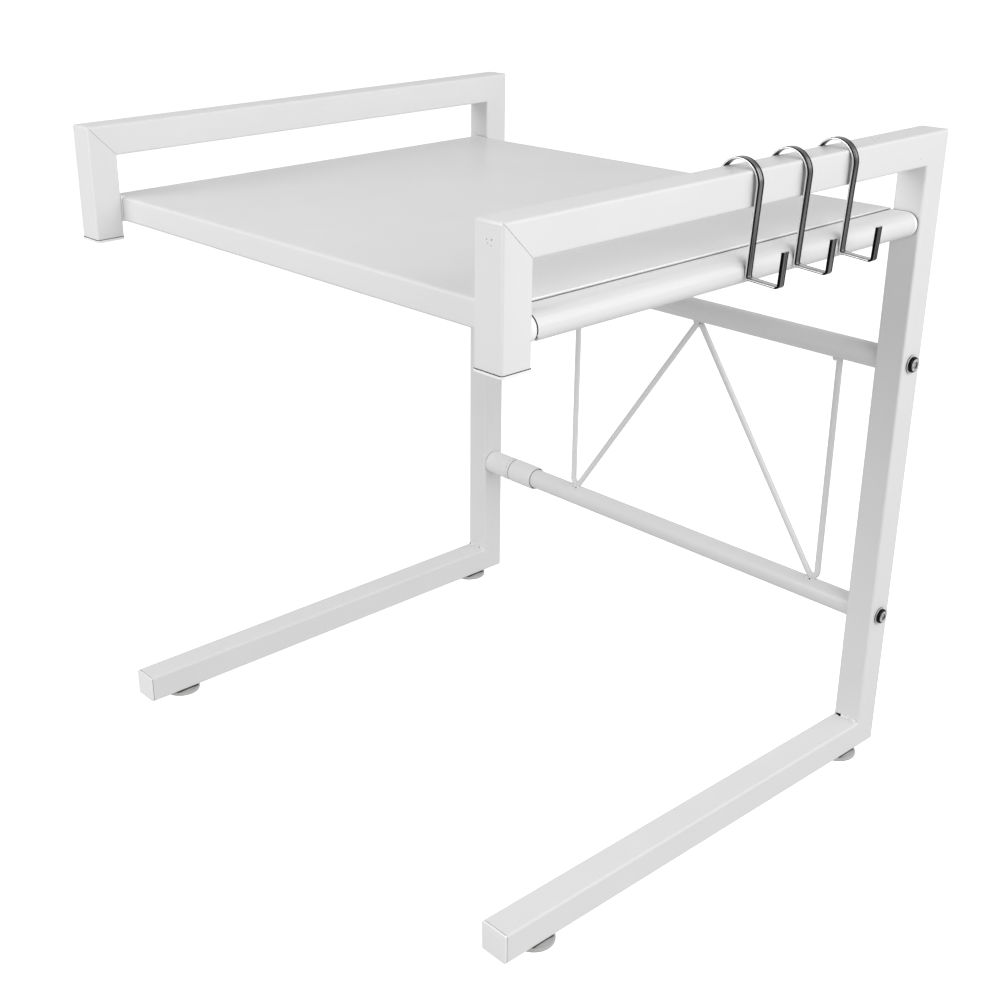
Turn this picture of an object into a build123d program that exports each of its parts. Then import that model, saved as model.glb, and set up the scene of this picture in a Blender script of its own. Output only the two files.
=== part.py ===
from build123d import *
import os
from math import acos, asin, atan2, cos, degrees, hypot, sin, sqrt, tan

# Expandable microwave shelf: two side frames of square steel tube, joined at the back by two
# telescopic round tubes and at the top by a shelf whose halves slide one inside the other.
# Millimetres. +X is the side that pulls out, +Y the back, +Z up. The origin lies on the floor
# under the middle of the whole closed shelf, with its bolt heads and hooks.

# Side frames
closed_width = 405.0        # over the outer faces of the side frames, pushed together
width_travel = 200.0        # how far the right side pulls out
frame_depth = 370.0         # front face of the front posts to the back of the uprights
frame_height = 428.0        # underside of the base tubes to the top of the rails
front_post_length = 73.0    # top of the rail to the lower end of the front post
base_setback = 8.0          # front of the base tubes behind the front of the rails
tube_side = 20.0
tube_wall = 1.2
tube_corner = 1.5
tube_bore_corner = 0.5
front_seam = 0.2            # open line at the front mitre, which is welded inside
corner_weld_radius = 2.0
corner_weld_length = 15.0

# Plastic end caps
post_cap_thickness = 2.1
post_cap_overhang = 0.4
base_cap_thickness = 1.6
cap_plug_length = 11.0
cap_plug_clearance = 0.1

# Shelf halves of folded sheet
shelf_drop = 47.0           # top of the rails to the top of the shelf
shelf_height = 16.5
shelf_sheet = 0.8
shelf_edge_radius = 2.2
shelf_lip = 14.0            # width of the flange turned in under the shelf
shelf_front_gap = 0.6       # folded sheet to the back of the front posts
shelf_back_gap = 0.4        # folded sheet to the front of the uprights
shelf_end_gap = 0.5         # end of the outer half to the nose of the inner half
shelf_slide_clearance = 0.4
shelf_overlap = 60.0        # shelf halves still one inside the other at full width
nose_setback = 1.0          # round nose behind the outer face of its side frame
inner_nose_height = 15.0
nose_cap_thickness = 4.0
nose_cap_seam = 0.3
nose_plug_length = 8.0

# Telescopic cross tubes
lower_tube_rise = 102.0     # underside of the base tubes to the tube's axis
upper_tube_rise = 282.0
outer_tube_radius = 8.0
outer_tube_wall = 1.0
inner_tube_radius = 6.6
inner_tube_wall = 1.0
tube_overlap = 57.0         # inner tube still inside the outer one at full width

# Twist locks on the ends of the outer cross tubes
lock_stand_off = 0.5        # lock nut to the left upright when closed
lock_nut_length = 27.0
lock_nut_radius = 10.0
lock_sleeve_length = 25.0
lock_sleeve_radius = 9.7
lock_joint_gap = 0.4
lock_neck_length = 9.0
lock_neck_radius = 8.7
lock_neck_clearance = 0.08
lock_bore_clearance = 0.3
lock_edge_radius = 0.7
sleeve_seat_clearance = 0.05
sleeve_seat_depth = 20.0    # outer tube inside the sleeve

# Bolts that hold the cross tubes to the uprights
bolt_radius = 3.0
bolt_head_radius = 5.2
bolt_head_height = 2.4
bolt_socket_width = 4.0
bolt_socket_depth = 1.4
bolt_reach = 14.0           # bolt past the upright's inner face
bolt_hole_clearance = 0.4
bolt_thread_clearance = 0.05
washer_radius = 6.0
washer_thickness = 0.8
end_nut_length = 12.0
end_nut_clearance = 0.05

# Zigzag wire brace between the outer cross tubes
wire_radius = 2.2
wire_bend_radius = 4.0      # at the wire's centre line
brace_span = 237.0          # between the two legs
brace_inset = 32.0          # right-hand leg to the right upright

# Levelling feet
foot_height = 3.8           # floor to the underside of the base tubes
foot_travel = 8.0           # how far a foot screws out
foot_radius = 13.5
foot_rim_height = 2.4
foot_shoulder_radius = 8.0
foot_shoulder_height = 3.1
foot_hub_radius = 6.0
foot_base_gap = 0.3
foot_edge_radius = 0.6
stud_radius = 3.0
stud_engagement = 6.5       # stud still in its insert with the foot screwed out
stud_floor = 1.2            # plastic under the stud
stud_seat_clearance = 0.03
front_foot_inset = 32.0     # front of the base tube to the foot's axis
rear_foot_inset = 29.0      # back of the base tube to the foot's axis
insert_radius = 5.0
insert_length = 13.0
insert_collar_radius = 6.5
insert_collar_thickness = 1.4
insert_hole_clearance = 0.05
insert_thread_clearance = 0.08

# Hooks of flat strip over the right rail
hook_width = 5.7
hook_strip = 1.2
hook_loop_radius = 12.4     # inside of the loop
hook_drop = 50.5            # loop centre to the underside of the tray
hook_tray_width = 22.5      # inside of the leg to the outside of the lip
hook_lip_height = 20.5
hook_back_leg = 5.0
hook_bend_radius = 1.7      # at the strip's centre line
hook_rest_gap = 0.3         # to the rail's corners and to the nose
hook_spacing = 43.0
middle_hook_inset = 227.0   # front of the rail to the middle hook

# Heights and depths that follow
base_bottom_z = foot_height
base_top_z = base_bottom_z + tube_side
rail_top_z = base_bottom_z + frame_height
rail_bottom_z = rail_top_z - tube_side
post_bottom_z = rail_top_z - front_post_length
shelf_top_z = rail_top_z - shelf_drop
shelf_bottom_z = shelf_top_z - shelf_height
cross_tube_z = {"lower": base_bottom_z + lower_tube_rise, "upper": base_bottom_z + upper_tube_rise}
front_y = -frame_depth / 2
back_y = frame_depth / 2
post_back_y = front_y + tube_side
upright_front_y = back_y - tube_side
upright_mid_y = back_y - tube_side / 2
shelf_front_y = post_back_y + shelf_front_gap
shelf_back_y = upright_front_y - shelf_back_gap
base_front_y = front_y + base_setback
foot_y = {"front": base_front_y + front_foot_inset, "rear": back_y - rear_foot_inset}
bore_side = tube_side - 2 * tube_wall
stud_length = foot_height - stud_floor + foot_travel + stud_engagement

# The inner half slides one sheet and a clearance inside the outer half
slide_inset = shelf_sheet + shelf_slide_clearance
inner_top_z = shelf_top_z - slide_inset
inner_bottom_z = shelf_bottom_z + slide_inset

# The hook's loop rests on the two rounded upper corners of the rail
corner_reach = hook_loop_radius - tube_corner - hook_rest_gap
corner_offset = tube_side / 2 - tube_corner
loop_z = rail_top_z - tube_corner - sqrt(corner_reach ** 2 - corner_offset ** 2)

# It leans in until its leg rests on the shelf's round nose
nose_radius = inner_nose_height / 2
nose_out = tube_side / 2 - nose_setback - nose_radius
nose_down = loop_z - inner_top_z + nose_radius
leg_reach = hook_loop_radius - nose_radius - hook_rest_gap
hook_lean = atan2(nose_down, nose_out) - acos(leg_reach / hypot(nose_out, nose_down))

# Sideways reach past the outer faces, which sets the origin under the middle
lip_face = hook_loop_radius + hook_tray_width
lip_depth = hook_drop - hook_lip_height
hook_tip = lip_face * cos(hook_lean) - lip_depth * sin(hook_lean) - tube_side / 2
bolt_tip = washer_thickness + bolt_head_height
origin_shift = (hook_tip - bolt_tip) / 2
left_face_x = -closed_width / 2 - origin_shift
right_face_x = closed_width / 2 - origin_shift
left_inner_x = left_face_x + tube_side
right_inner_x = right_face_x - tube_side

# Lengths along X of what telescopes
lock_start_x = left_inner_x + lock_stand_off
sleeve_start_x = lock_start_x + lock_nut_length + lock_joint_gap
sleeve_end_x = sleeve_start_x + lock_sleeve_length
outer_tube_start_x = sleeve_end_x - sleeve_seat_depth
inner_tube_end_x = outer_tube_start_x + width_travel + tube_overlap
shelf_outer_end_x = right_inner_x - shelf_end_gap
shelf_inner_start_x = shelf_outer_end_x - width_travel - shelf_overlap

SIDES = {"left": (left_face_x, 1), "right": (right_face_x, -1)}


def box(x0, x1, y0, y1, z0, z1):
    """Box between two corners."""
    middle = ((x0 + x1) / 2, (y0 + y1) / 2, (z0 + z1) / 2)
    return Pos(*middle) * Box(abs(x1 - x0), abs(y1 - y0), abs(z1 - z0))


def rod(radius, start, direction, length):
    """Solid cylinder from a start point along a direction."""
    return extrude(Plane(origin=start, z_dir=direction) * Circle(radius), length)


def pipe(outer, inner, start, direction, length):
    """Hollow cylinder from a start point along a direction."""
    return rod(outer, start, direction, length) - rod(inner, start, direction, length)


def square_tube(start, direction, length):
    """Hollow square tube with rounded corners, its axis from a start point along Y or Z."""
    section = RectangleRounded(tube_side, tube_side, tube_corner)
    section -= RectangleRounded(bore_side, bore_side, tube_bore_corner)
    return extrude(Plane(origin=start, x_dir=(1, 0, 0), z_dir=direction) * section, length)


def mitred(tube, corner, normal, seam=0.0):
    """Cuts a tube at 45 degrees through a frame corner, keeping the side the normal points to."""
    cut = Plane(origin=corner, x_dir=(1, 0, 0), z_dir=normal).offset(seam / 2)
    return split(tube, bisect_by=cut, keep=Keep.TOP)


# Side frames


def base_tube(face_x, inward):
    """Tube on the floor side, open in front for its cap, with a hole for each foot insert."""
    middle_x = face_x + inward * tube_side / 2
    start_y = base_front_y + base_cap_thickness
    start = (middle_x, start_y, base_bottom_z + tube_side / 2)
    tube = square_tube(start, (0, 1, 0), back_y - start_y)
    tube = mitred(tube, (middle_x, back_y, base_bottom_z), (0, -1, -1))
    for y in foot_y.values():
        hole = rod(insert_radius + insert_hole_clearance, (middle_x, y, base_bottom_z), (0, 0, 1), tube_wall)
        tube -= hole
    return tube


def rear_upright(face_x, inward):
    """Upright mitred to the base tube and the rail, drilled through for the cross tube bolts."""
    middle_x = face_x + inward * tube_side / 2
    tube = square_tube((middle_x, upright_mid_y, base_bottom_z), (0, 0, 1), frame_height)
    tube = mitred(tube, (middle_x, back_y, base_bottom_z), (0, 1, 1))
    tube = mitred(tube, (middle_x, back_y, rail_top_z), (0, 1, -1))
    for z in cross_tube_z.values():
        hole_start = (face_x, upright_mid_y, z)
        tube -= rod(bolt_radius + bolt_hole_clearance, hole_start, (inward, 0, 0), tube_side)
    return tube


def top_rail(face_x, inward):
    """Rail over the shelf's side, mitred at both ends."""
    middle_x = face_x + inward * tube_side / 2
    tube = square_tube((middle_x, front_y, rail_top_z - tube_side / 2), (0, 1, 0), frame_depth)
    tube = mitred(tube, (middle_x, front_y, rail_top_z), (0, 1, 1), front_seam)
    return mitred(tube, (middle_x, back_y, rail_top_z), (0, -1, 1))


def front_post(face_x, inward):
    """Short post that hangs from the front of the rail."""
    middle_x = face_x + inward * tube_side / 2
    start = (middle_x, front_y + tube_side / 2, post_bottom_z)
    tube = square_tube(start, (0, 0, 1), front_post_length)
    return mitred(tube, (middle_x, front_y, rail_top_z), (0, -1, -1), front_seam)


def end_cap(flange_side, flange_corner, thickness, outward, at):
    """Square plastic cap: a flange outside the tube's end and a plug inside it."""
    plug_side = bore_side - 2 * cap_plug_clearance
    end = Plane(origin=at, x_dir=(1, 0, 0), z_dir=outward)
    flange = extrude(end * RectangleRounded(flange_side, flange_side, flange_corner), thickness)
    outer_rim = flange.faces().sort_by(Axis(at, outward))[-1].edges()
    flange = fillet(outer_rim, min(flange_corner, thickness) / 3)
    plug = extrude(end * RectangleRounded(plug_side, plug_side, tube_bore_corner), -cap_plug_length)
    return flange + plug


def post_cap(face_x, inward):
    """Cap under the front post, a little wider than the tube."""
    middle_x = face_x + inward * tube_side / 2
    side = tube_side + 2 * post_cap_overhang
    at = (middle_x, front_y + tube_side / 2, post_bottom_z)
    return end_cap(side, tube_corner + post_cap_overhang, post_cap_thickness, (0, 0, -1), at)


def base_cap(face_x, inward):
    """Flush cap in the front end of the base tube."""
    middle_x = face_x + inward * tube_side / 2
    at = (middle_x, base_front_y + base_cap_thickness, base_bottom_z + tube_side / 2)
    return end_cap(tube_side, tube_corner, base_cap_thickness, (0, -1, 0), at)


def corner_weld(face_x, inward):
    """Quarter-round bead in the corner between the base tube and the upright."""
    middle_x = face_x + inward * tube_side / 2
    start_x = middle_x - corner_weld_length / 2
    corner = (start_x, upright_front_y, base_top_z)
    bead = rod(corner_weld_radius, corner, (1, 0, 0), corner_weld_length)
    reach = 2 * corner_weld_radius
    quarter = box(start_x, start_x + corner_weld_length, upright_front_y - reach, upright_front_y,
                  base_top_z, base_top_z + reach)
    return bead & quarter


# Shelf


def nose_solid(tip_x, inward, z0, z1, y0, y1, trim=0.0):
    """Half-round nose along Y with a flat back at the frame's inner face, made smaller by a trim."""
    back_x = tip_x + inward * (tube_side - nose_setback - trim)
    radius = (z1 - z0) / 2 - trim
    centre_x = tip_x + inward * (z1 - z0) / 2
    rounded = rod(radius, (centre_x, y0, (z0 + z1) / 2), (0, 1, 0), y1 - y0)
    return rounded + box(centre_x, back_x, y0, y1, z0 + trim, z1 - trim)


def nose_shell(tip_x, inward, z0, z1):
    """Rolled sheet nose, open at both ends for its caps."""
    cap = nose_cap_thickness + nose_cap_seam
    y0, y1 = post_back_y + cap, upright_front_y - cap
    return nose_solid(tip_x, inward, z0, z1, y0, y1) - nose_solid(tip_x, inward, z0, z1, y0, y1, shelf_sheet)


def nose_caps(tip_x, inward, z0, z1):
    """Plastic caps in the nose's two ends, seated on the front post and on the upright."""
    trim = shelf_sheet + cap_plug_clearance
    caps = []
    for seat_y, along in ((post_back_y, 1), (upright_front_y, -1)):
        y1 = seat_y + along * nose_cap_thickness
        y2 = y1 + along * nose_plug_length
        plate = nose_solid(tip_x, inward, z0, z1, min(seat_y, y1), max(seat_y, y1))
        caps.append(plate + nose_solid(tip_x, inward, z0, z1, min(y1, y2), max(y1, y2), trim))
    return Compound(caps)


def folded_board(x0, x1, y0, y1, z0, z1):
    """Board of folded sheet, open at both ends and underneath except for its turned-in lips."""
    t = shelf_sheet
    skin = box(x0, x1, y0, y1, z0, z1)
    skin = fillet(skin.edges().filter_by(Axis.X), shelf_edge_radius)
    hollow = box(x0, x1, y0 + t, y1 - t, z0 + t, z1 - t)
    hollow = fillet(hollow.edges().filter_by(Axis.X), shelf_edge_radius - t)
    return skin - hollow - box(x0, x1, y0 + shelf_lip, y1 - shelf_lip, z0, z0 + t)


def shelf_outer_half():
    """Left half, whose open right end takes the inner half."""
    board = folded_board(left_inner_x, shelf_outer_end_x, shelf_front_y, shelf_back_y,
                         shelf_bottom_z, shelf_top_z)
    return board + nose_shell(left_face_x + nose_setback, 1, shelf_bottom_z, shelf_top_z)


def shelf_inner_half():
    """Right half, which slides inside the outer half."""
    board = folded_board(shelf_inner_start_x, right_inner_x, shelf_front_y + slide_inset,
                         shelf_back_y - slide_inset, inner_bottom_z, inner_top_z)
    nose = nose_shell(right_face_x - nose_setback, -1, inner_top_z - inner_nose_height, inner_top_z)
    return board + nose


# Telescopic cross tubes and their locks


def inner_cross_tube(z):
    """Thinner tube, fixed to the left upright."""
    start = (left_inner_x, upright_mid_y, z)
    bore = inner_tube_radius - inner_tube_wall
    return pipe(inner_tube_radius, bore, start, (1, 0, 0), inner_tube_end_x - left_inner_x)


def outer_cross_tube(z):
    """Wider tube, fixed to the right upright, that the thinner one slides in."""
    start = (outer_tube_start_x, upright_mid_y, z)
    bore = outer_tube_radius - outer_tube_wall
    return pipe(outer_tube_radius, bore, start, (1, 0, 0), right_inner_x - outer_tube_start_x)


def lock_sleeve(z):
    """Plastic sleeve on the end of the outer tube, with a neck that carries the lock nut."""
    bore = inner_tube_radius + lock_bore_clearance
    seat = outer_tube_radius + sleeve_seat_clearance
    neck_start_x = sleeve_start_x - lock_neck_length
    body = rod(lock_sleeve_radius, (sleeve_start_x, upright_mid_y, z), (1, 0, 0), lock_sleeve_length)
    body = fillet(body.edges().filter_by(GeomType.CIRCLE), lock_edge_radius)
    body += rod(lock_neck_radius, (neck_start_x, upright_mid_y, z), (1, 0, 0), lock_neck_length + 1)
    body -= rod(bore, (neck_start_x, upright_mid_y, z), (1, 0, 0), lock_neck_length + lock_sleeve_length)
    return body - rod(seat, (outer_tube_start_x, upright_mid_y, z), (1, 0, 0), sleeve_seat_depth)


def lock_nut(z):
    """Plastic nut that is twisted to grip the inner tube."""
    start = (lock_start_x, upright_mid_y, z)
    body = rod(lock_nut_radius, start, (1, 0, 0), lock_nut_length)
    body = fillet(body.edges().filter_by(GeomType.CIRCLE), lock_edge_radius)
    body -= rod(inner_tube_radius + lock_bore_clearance, start, (1, 0, 0), lock_nut_length)
    counterbore_start_x = sleeve_start_x - lock_neck_length - lock_joint_gap
    counterbore = rod(lock_neck_radius + lock_neck_clearance, (counterbore_start_x, upright_mid_y, z),
                      (1, 0, 0), lock_neck_length + lock_joint_gap)
    return body - counterbore


# Bolts, washers and the nuts in the cross tubes' ends


def bolt(face_x, inward, z):
    """Button-head bolt through the upright into the nut in the cross tube's end."""
    under_head_x = face_x - inward * washer_thickness
    head = rod(bolt_head_radius, (under_head_x, upright_mid_y, z), (-inward, 0, 0), bolt_head_height)
    rim = head.edges().filter_by(GeomType.CIRCLE).sort_by(Axis.X)
    head = fillet(rim[0] if inward > 0 else rim[-1], bolt_head_height * 0.6)
    top = Plane(origin=(under_head_x - inward * bolt_head_height, upright_mid_y, z), z_dir=(inward, 0, 0))
    head -= extrude(top * RegularPolygon(bolt_socket_width / 2, 6, major_radius=False), bolt_socket_depth)
    shank = washer_thickness + tube_side + bolt_reach
    return head + rod(bolt_radius, (under_head_x, upright_mid_y, z), (inward, 0, 0), shank)


def washer(face_x, inward, z):
    """Flat washer between the bolt head and the upright."""
    bore = bolt_radius + bolt_thread_clearance
    return pipe(washer_radius, bore, (face_x, upright_mid_y, z), (-inward, 0, 0), washer_thickness)


def end_nut(inner_x, inward, z, tube_bore):
    """Threaded plug inside the end of a cross tube."""
    outer = tube_bore - end_nut_clearance
    bore = bolt_radius + bolt_thread_clearance
    return pipe(outer, bore, (inner_x, upright_mid_y, z), (inward, 0, 0), end_nut_length)


# Wire brace


def wire_brace():
    """One bent wire: leg, two diagonals and leg, resting on the lower tube and under the upper."""
    low = cross_tube_z["lower"] + outer_tube_radius + wire_radius
    high = cross_tube_z["upper"] - outer_tube_radius - wire_radius
    right_leg_x = right_inner_x - brace_inset
    left_leg_x = right_leg_x - brace_span
    apex_x = (left_leg_x + right_leg_x) / 2
    # The diagonal is the crossing tangent between the bend on the lower tube and the one at the apex
    run = apex_x - left_leg_x - wire_bend_radius
    rise = high - low - 2 * wire_bend_radius
    slant = atan2(run, rise) - asin(2 * wire_bend_radius / hypot(run, rise))
    low_corner = low + wire_bend_radius - wire_bend_radius / tan(slant / 2)
    high_corner = high - wire_bend_radius + wire_bend_radius / sin(slant)
    leg_top = cross_tube_z["upper"]
    corners = [(left_leg_x, leg_top), (left_leg_x, low_corner), (apex_x, high_corner),
               (right_leg_x, low_corner), (right_leg_x, leg_top)]
    path = FilletPolyline(*[(x, upright_mid_y, z) for x, z in corners], radius=wire_bend_radius)
    wire = sweep(Plane(origin=path @ 0, z_dir=path % 0) * Circle(wire_radius), path)
    tube = rod(outer_tube_radius, (left_leg_x - tube_side, upright_mid_y, leg_top), (1, 0, 0),
               brace_span + 2 * tube_side)
    return wire - tube


# Levelling feet


def foot_pad(x, y):
    """Plastic disc that stands on the floor, with a stepped top and a hub round the stud."""
    hub_top = foot_height - foot_base_gap
    disc = rod(foot_radius, (x, y, 0), (0, 0, 1), foot_rim_height)
    disc = fillet(disc.edges().filter_by(GeomType.CIRCLE), foot_edge_radius)
    dome = Pos(x, y, foot_rim_height) * Cone(
        foot_radius - 2 * foot_edge_radius, foot_shoulder_radius, foot_shoulder_height - foot_rim_height,
        align=(Align.CENTER, Align.CENTER, Align.MIN))
    hub = rod(foot_hub_radius, (x, y, foot_rim_height), (0, 0, 1), hub_top - foot_rim_height)
    seat = rod(stud_radius + stud_seat_clearance, (x, y, stud_floor), (0, 0, 1), hub_top)
    return disc + dome + hub - seat


def foot_stud(x, y):
    """Threaded stud that screws into the insert in the base tube."""
    return rod(stud_radius, (x, y, stud_floor), (0, 0, 1), stud_length)


def foot_insert(x, y):
    """Threaded insert through the bottom wall of the base tube, with a collar inside the tube."""
    body = rod(insert_radius, (x, y, base_bottom_z), (0, 0, 1), insert_length)
    collar_z = base_bottom_z + tube_wall
    body += rod(insert_collar_radius, (x, y, collar_z), (0, 0, 1), insert_collar_thickness)
    bore = rod(stud_radius + insert_thread_clearance, (x, y, base_bottom_z), (0, 0, 1), insert_length)
    return body - bore


# Hooks


def hook(y):
    """Flat strip bent into a loop over the rail, a long leg, a short tray and a lip."""
    centre_radius = hook_loop_radius + hook_strip / 2
    tray_z = -hook_drop + hook_strip / 2
    lip_x = hook_loop_radius + hook_tray_width - hook_strip / 2
    back_leg = Line((-centre_radius, 0, -hook_back_leg), (-centre_radius, 0, 0))
    loop = ThreePointArc((-centre_radius, 0, 0), (0, 0, centre_radius), (centre_radius, 0, 0))
    lower = FilletPolyline((centre_radius, 0, 0), (centre_radius, 0, tray_z), (lip_x, 0, tray_z),
                           (lip_x, 0, hook_lip_height - hook_drop), radius=hook_bend_radius)
    path = Wire(back_leg.edges() + loop.edges() + lower.edges())
    section = Plane(origin=path @ 0, x_dir=(1, 0, 0), z_dir=path % 0) * Rectangle(hook_strip, hook_width)
    strip = sweep(section, path)
    middle_x = right_face_x - tube_side / 2
    return Pos(middle_x, y, loop_z) * Rot(0, degrees(hook_lean), 0) * strip


def write_step(name, shape):
    """Writes one named piece."""
    export_step(shape, "parts/" + name + ".step")


def write_side(side):
    """Writes the frame pieces, feet and fasteners of one side."""
    face_x, inward = SIDES[side]
    inner_x = face_x + inward * tube_side
    middle_x = face_x + inward * tube_side / 2
    wall_radius = {"left": inner_tube_radius - inner_tube_wall, "right": outer_tube_radius - outer_tube_wall}
    write_step(side + "_base_tube", base_tube(face_x, inward))
    write_step(side + "_rear_upright", rear_upright(face_x, inward))
    write_step(side + "_top_rail", top_rail(face_x, inward))
    write_step(side + "_front_post", front_post(face_x, inward))
    write_step(side + "_post_cap", post_cap(face_x, inward))
    write_step(side + "_base_cap", base_cap(face_x, inward))
    write_step(side + "_corner_weld", corner_weld(face_x, inward))
    heights = cross_tube_z.values()
    write_step(side + "_tube_bolts", Compound([bolt(face_x, inward, z) for z in heights]))
    write_step(side + "_tube_washers", Compound([washer(face_x, inward, z) for z in heights]))
    end_nuts = [end_nut(inner_x, inward, z, wall_radius[side]) for z in heights]
    write_step(side + "_tube_end_nuts", Compound(end_nuts))
    write_step(side + "_foot_inserts", Compound([foot_insert(middle_x, y) for y in foot_y.values()]))
    for place, y in foot_y.items():
        write_step(side + "_" + place + "_foot_pad", foot_pad(middle_x, y))
        write_step(side + "_" + place + "_foot_stud", foot_stud(middle_x, y))


os.makedirs("parts", exist_ok=True)
for side_name in SIDES:
    write_side(side_name)
write_step("shelf_outer_half", shelf_outer_half())
write_step("shelf_inner_half", shelf_inner_half())
write_step("left_nose_caps", nose_caps(left_face_x + nose_setback, 1, shelf_bottom_z, shelf_top_z))
inner_nose_z = inner_top_z - inner_nose_height
write_step("right_nose_caps", nose_caps(right_face_x - nose_setback, -1, inner_nose_z, inner_top_z))
for level, height in cross_tube_z.items():
    write_step(level + "_inner_tube", inner_cross_tube(height))
    write_step(level + "_outer_tube", outer_cross_tube(height))
    write_step(level + "_lock_sleeve", lock_sleeve(height))
    write_step(level + "_lock_nut", lock_nut(height))
write_step("wire_brace", wire_brace())
middle_hook_y = front_y + middle_hook_inset
for hook_name, step in {"front": -1, "middle": 0, "rear": 1}.items():
    write_step(hook_name + "_hook", hook(middle_hook_y + step * hook_spacing))
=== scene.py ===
from math import pi, radians
from random import Random

import bmesh
import bpy
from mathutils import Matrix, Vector


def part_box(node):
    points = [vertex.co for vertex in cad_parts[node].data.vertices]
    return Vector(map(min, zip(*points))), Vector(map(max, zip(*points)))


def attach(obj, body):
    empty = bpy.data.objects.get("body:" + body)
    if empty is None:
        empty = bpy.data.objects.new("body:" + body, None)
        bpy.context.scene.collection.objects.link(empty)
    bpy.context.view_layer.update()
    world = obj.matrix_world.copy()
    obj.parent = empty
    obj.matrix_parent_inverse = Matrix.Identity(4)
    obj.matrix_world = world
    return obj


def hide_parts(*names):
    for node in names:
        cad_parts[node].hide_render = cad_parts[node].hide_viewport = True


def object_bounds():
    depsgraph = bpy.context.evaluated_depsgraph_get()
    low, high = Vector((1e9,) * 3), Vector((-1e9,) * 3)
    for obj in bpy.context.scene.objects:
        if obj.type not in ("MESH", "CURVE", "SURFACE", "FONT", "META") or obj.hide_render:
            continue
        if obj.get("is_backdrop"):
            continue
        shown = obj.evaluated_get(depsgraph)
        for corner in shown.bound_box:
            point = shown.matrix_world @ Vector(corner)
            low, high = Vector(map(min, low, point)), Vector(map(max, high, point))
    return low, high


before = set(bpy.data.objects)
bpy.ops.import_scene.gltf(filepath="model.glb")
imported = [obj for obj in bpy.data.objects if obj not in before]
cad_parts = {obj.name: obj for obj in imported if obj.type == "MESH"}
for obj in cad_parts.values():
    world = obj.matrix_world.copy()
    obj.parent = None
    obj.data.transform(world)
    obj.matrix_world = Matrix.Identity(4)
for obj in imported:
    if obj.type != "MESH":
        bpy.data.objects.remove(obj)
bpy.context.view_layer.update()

mm = 0.001                               # sizes in the dictionaries are in mm, angles in degrees
samePlace = 1e-6                         # m, points closer than this count as one
facing = 0.9                             # a face faces along an axis if its normal has this much along it
sideOn = 0.5                             # and it is a side face if its normal has less than this
roundSides = 64                          # flat sides of a rod, bolt or bore

# The photograph's viewpoint, in m
photoView = {
    "place": (0.66920, -0.64150, 0.57865),
    "turn": (66.8776, 0.8885, 49.9574),
    "lens": 52.70,
    "sensor": 36.0,
    "shiftAcross": 0.0963,
    "shiftUp": -0.0025,
}
bpy.ops.object.camera_add(location=photoView["place"], rotation=[radians(a) for a in photoView["turn"]])
camera = bpy.context.object
camera.name = "photoCamera"
camera.data.lens = photoView["lens"]
camera.data.sensor_width = photoView["sensor"]
camera.data.shift_x = photoView["shiftAcross"]
camera.data.shift_y = photoView["shiftUp"]
camera.data.dof.use_dof = False
bpy.context.scene.camera = camera
print("Camera placed")


# Turns an sRGB hex colour into linear light
def hexToLinear(hexColour):
    channels = [int(hexColour[i:i + 2], 16) / 255 for i in (1, 3, 5)]
    return [c / 12.92 if c <= 0.04045 else ((c + 0.055) / 1.055) ** 2.4 for c in channels] + [1.0]


# Adds one shader node with its options, its fixed inputs and what feeds it
def addNode(tree, kind, inputs=None, links=None, **options):
    node = tree.nodes.new(kind)
    for option, value in options.items():
        setattr(node, option, value)
    for socket, value in (inputs or {}).items():
        node.inputs[socket].default_value = value
    for socket, source in (links or {}).items():
        tree.links.new(source, node.inputs[socket])
    return node


# A mix node's sockets go by number, because its colours and plain values share their names
mixShare, mixColourA, mixColourB, mixedColour = 0, 6, 7, 2
mixValueA, mixValueB, mixedValue = 2, 3, 0


def startMaterial(name):
    material = bpy.data.materials.new(name)
    material.use_nodes = True
    tree = material.node_tree
    tree.nodes.clear()
    place = addNode(tree, "ShaderNodeTexCoord").outputs["Object"]
    return material, tree, place


def addNoise(tree, place, size, detail):
    noise = addNode(tree, "ShaderNodeTexNoise", {"Scale": 1 / (size * mm), "Detail": detail},
                    {"Vector": place})
    return noise.outputs["Fac"]


def mixLook(tree, look, share):
    mixed = addNode(tree, "ShaderNodeMix",
                    {mixColourA: hexToLinear(look["light"]), mixColourB: hexToLinear(look["dull"])},
                    {mixShare: share}, data_type="RGBA")
    return mixed.outputs[mixedColour]


def addRelief(tree, shape, height):
    relief = addNode(tree, "ShaderNodeBump", {"Strength": 1.0, "Distance": height * mm}, {"Height": shape})
    return relief.outputs[0]


def driftGloss(tree, look, share):
    half = look["glossDrift"] / 2
    gloss = addNode(tree, "ShaderNodeMapRange",
                    {"To Min": look["gloss"] - half, "To Max": look["gloss"] + half}, {"Value": share})
    return gloss.outputs[0]


def endMaterial(tree, fixed, colour, gloss, relief):
    surface = addNode(tree, "ShaderNodeBsdfPrincipled", fixed,
                      {"Base Color": colour, "Roughness": gloss, "Normal": relief})
    addNode(tree, "ShaderNodeOutputMaterial", links={"Surface": surface.outputs[0]})


# Polyester powder coat, sprayed on steel and baked: near white, a soft gloss
# with the faint ripple of orange peel
powderCoat = {
    "light": "#E9E9E9", "dull": "#E2E2E2",
    "patch": 60.0,                       # drift of the white over a tube
    "peel": 3.0, "peelHeight": 0.012,    # the real ripple of 1 to 2 mm drawn coarser so that it shows
    "gloss": 0.38, "glossDrift": 0.06, "ior": 1.5,
    "coat": 0.25, "coatGloss": 0.22,
    "nibSpacing": 55.0, "nibSize": 0.35, "nib": "#8E8E8E",   # specks of dust under the paint
}

# Where the coat gathers on a rolled rim it is thicker and glossier, and painted whiter as a highlight
rimHighlightCoat = {"light": "#FFFFFF", "dull": "#FAFAFA", "gloss": 0.25, "coat": 0.6, "coatGloss": 0.12}


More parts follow.
